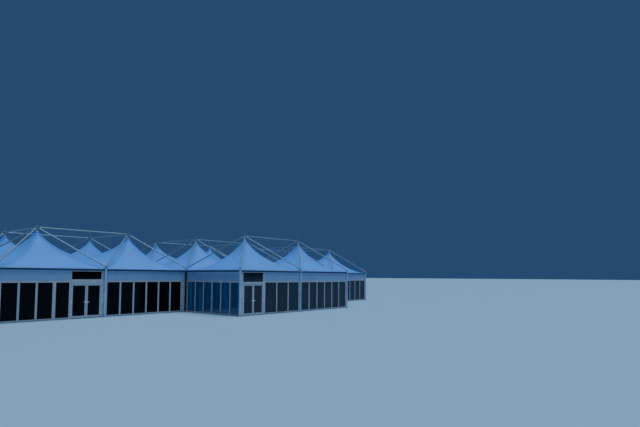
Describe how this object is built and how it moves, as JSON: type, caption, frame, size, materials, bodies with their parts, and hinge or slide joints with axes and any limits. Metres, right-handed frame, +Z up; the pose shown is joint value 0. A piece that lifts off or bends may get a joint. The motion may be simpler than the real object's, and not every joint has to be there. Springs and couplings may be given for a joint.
{
  "type": "modular tensile marquee",
  "caption": "Glazed event marquee of square bays: tensioned membrane roofs with pointed peaks hang from an outside tube frame over window walls and double doors.",
  "frame": {"origin": "on the ground, under the middle of the plan", "axes": "+X along the hall, to the right seen from the entrance; +Y to the back; +Z up"},
  "size_m": [36.24, 18.24, 5.96],
  "materials": {
    "membrane": "coated, semi-matt",
    "tube": "satin",
    "frame": "powder coat, satin",
    "eave": "satin",
    "band": "satin coat",
    "glass": "clear, dark behind"
  },
  "bodies": {
    "marquee": {"leg_frame_west": "eave", "leg_frame_middle": "eave", "leg_frame_east": "eave", "leg_frame_porch": "eave", "roof_frame_west": "tube", "roof_frame_middle": "tube", "roof_frame_east": "tube", "roof_frame_porch": "tube", "canopy_west": "membrane", "canopy_middle": "membrane", "canopy_east": "membrane", "canopy_porch": "membrane", "hall_front_west_left_frame": "frame", "hall_front_west_left_glass": "glass", "hall_front_west_right_frame": "frame", "hall_front_west_right_glass": "glass", "hall_front_east_frame": "frame", "hall_front_east_glass": "glass", "porch_west_frame": "frame", "porch_west_glass": "glass", "porch_east_frame": "frame", "porch_east_glass": "glass", "porch_front_frame": "frame", "porch_front_glass": "glass", "east_wall_frame": "frame", "east_wall_glass": "glass", "back_wall_frame": "frame", "back_wall_glass": "glass", "west_wall_frame": "frame", "west_wall_glass": "glass", "hall_door_portal": "frame", "hall_door_transom": "glass", "porch_door_portal": "frame", "porch_door_transom": "glass", "band_west": "band", "band_east": "band", "band_back": "band", "band_porch": "band"},
    "hall_door_leaf_left": {"hall_door_leaf_left": "frame"},
    "hall_door_leaf_right": {"hall_door_leaf_right": "frame"},
    "porch_door_leaf_left": {"porch_door_leaf_left": "frame"},
    "porch_door_leaf_right": {"porch_door_leaf_right": "frame"}
  },
  "joints": [
    {"name": "hall_door_left_swing", "type": "hinge", "parent": "marquee", "child": "hall_door_leaf_left", "pos_m": [-14.022, -2.962, 1], "axis": [0, 0, -1], "range_deg": [0, 110]},
    {"name": "hall_door_right_swing", "type": "hinge", "parent": "marquee", "child": "hall_door_leaf_right", "pos_m": [-12.228, -2.962, 1], "axis": [0, 0, 1], "range_deg": [0, 110]},
    {"name": "porch_door_left_swing", "type": "hinge", "parent": "marquee", "child": "porch_door_leaf_left", "pos_m": [-5.667, -8.962, 1], "axis": [0, 0, -1], "range_deg": [0, 110]},
    {"name": "porch_door_right_swing", "type": "hinge", "parent": "marquee", "child": "porch_door_leaf_right", "pos_m": [-3.873, -8.962, 1], "axis": [0, 0, 1], "range_deg": [0, 110]}
  ]
}
